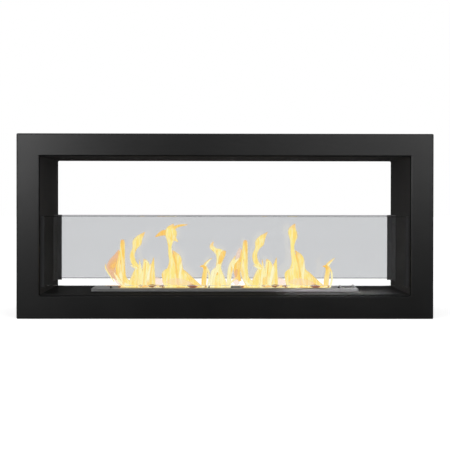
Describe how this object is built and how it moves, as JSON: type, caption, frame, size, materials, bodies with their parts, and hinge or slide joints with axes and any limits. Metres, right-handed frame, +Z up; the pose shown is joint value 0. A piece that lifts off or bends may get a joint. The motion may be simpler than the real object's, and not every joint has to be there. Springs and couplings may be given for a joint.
{
  "type": "double-sided fireplace",
  "caption": "Black steel see-through fireplace, open front and back, with a flat slotted spirit burner in its floor and a low glass pane on each side.",
  "frame": {"origin": "on the ground under the middle of the casing", "axes": "+Z up, +X along the width to the right seen from the front, -Y towards the front"},
  "size_m": [0.9, 0.23, 0.4],
  "materials": {
    "black_steel": "satin black powder coat",
    "burner_steel": "dark brushed stainless",
    "zinc_steel": "plain zinc-plated",
    "clear_glass": "clear toughened, with ground edges",
    "smoked_glass": "lightly tinted toughened, with ground edges",
    "ceramic_fibre": "matt ceramic fibre wool",
    "rubber": "black heat-proof rubber"
  },
  "bodies": {
    "casing": {"front_trim": "black_steel", "rear_trim": "black_steel", "outer_top_panel": "black_steel", "outer_bottom_panel": "black_steel", "outer_left_panel": "black_steel", "outer_right_panel": "black_steel", "left_liner": "black_steel", "right_liner": "black_steel", "ceiling_liner": "black_steel", "floor_panel": "black_steel", "front_left_glass_holder": "black_steel", "front_right_glass_holder": "black_steel", "rear_left_glass_holder": "black_steel", "rear_right_glass_holder": "black_steel", "front_left_glass_pad": "rubber", "front_right_glass_pad": "rubber", "rear_left_glass_pad": "rubber", "rear_right_glass_pad": "rubber", "front_trim_nut_1": "zinc_steel", "front_trim_nut_2": "zinc_steel", "front_trim_nut_3": "zinc_steel", "front_trim_nut_4": "zinc_steel", "rear_trim_nut_1": "zinc_steel", "rear_trim_nut_2": "zinc_steel", "rear_trim_nut_3": "zinc_steel", "rear_trim_nut_4": "zinc_steel", "holder_screw_1": "black_steel", "holder_screw_2": "black_steel", "holder_screw_3": "black_steel", "holder_screw_4": "black_steel", "holder_screw_5": "black_steel", "holder_screw_6": "black_steel", "holder_screw_7": "black_steel", "holder_screw_8": "black_steel"},
    "burner": {"burner_tray": "burner_steel", "burner_top": "burner_steel", "ceramic_wool": "ceramic_fibre", "left_damper_guide": "burner_steel", "right_damper_guide": "burner_steel", "filler_frame": "burner_steel", "filler_hinge_pin": "zinc_steel", "burner_screw_1": "zinc_steel", "burner_screw_2": "zinc_steel", "burner_screw_3": "zinc_steel", "burner_screw_4": "zinc_steel", "burner_screw_5": "zinc_steel", "burner_screw_6": "zinc_steel"},
    "damper": {"damper_plate": "burner_steel", "left_damper_pin": "zinc_steel", "right_damper_pin": "zinc_steel"},
    "filler_lid": {"filler_lid": "burner_steel"},
    "front_glass": {"front_glass": "clear_glass"},
    "rear_glass": {"rear_glass": "smoked_glass"}
  },
  "joints": [
    {"name": "burner_lift", "type": "slide", "parent": "casing", "child": "burner", "axis": [0, 0, 1], "range_m": [0, 0.22]},
    {"name": "damper_slide", "type": "slide", "parent": "burner", "child": "damper", "axis": [0, 1, 0], "range_m": [0, 0.02]},
    {"name": "filler_lid_hinge", "type": "hinge", "parent": "burner", "child": "filler_lid", "pos_m": [0.29485, 0, 0.0612], "axis": [0, 1, 0], "range_deg": [0, 110]},
    {"name": "front_glass_lift", "type": "slide", "parent": "casing", "child": "front_glass", "axis": [0, 0, 1], "range_m": [0, 0.128]},
    {"name": "rear_glass_lift", "type": "slide", "parent": "casing", "child": "rear_glass", "axis": [0, 0, 1], "range_m": [0, 0.128]}
  ]
}
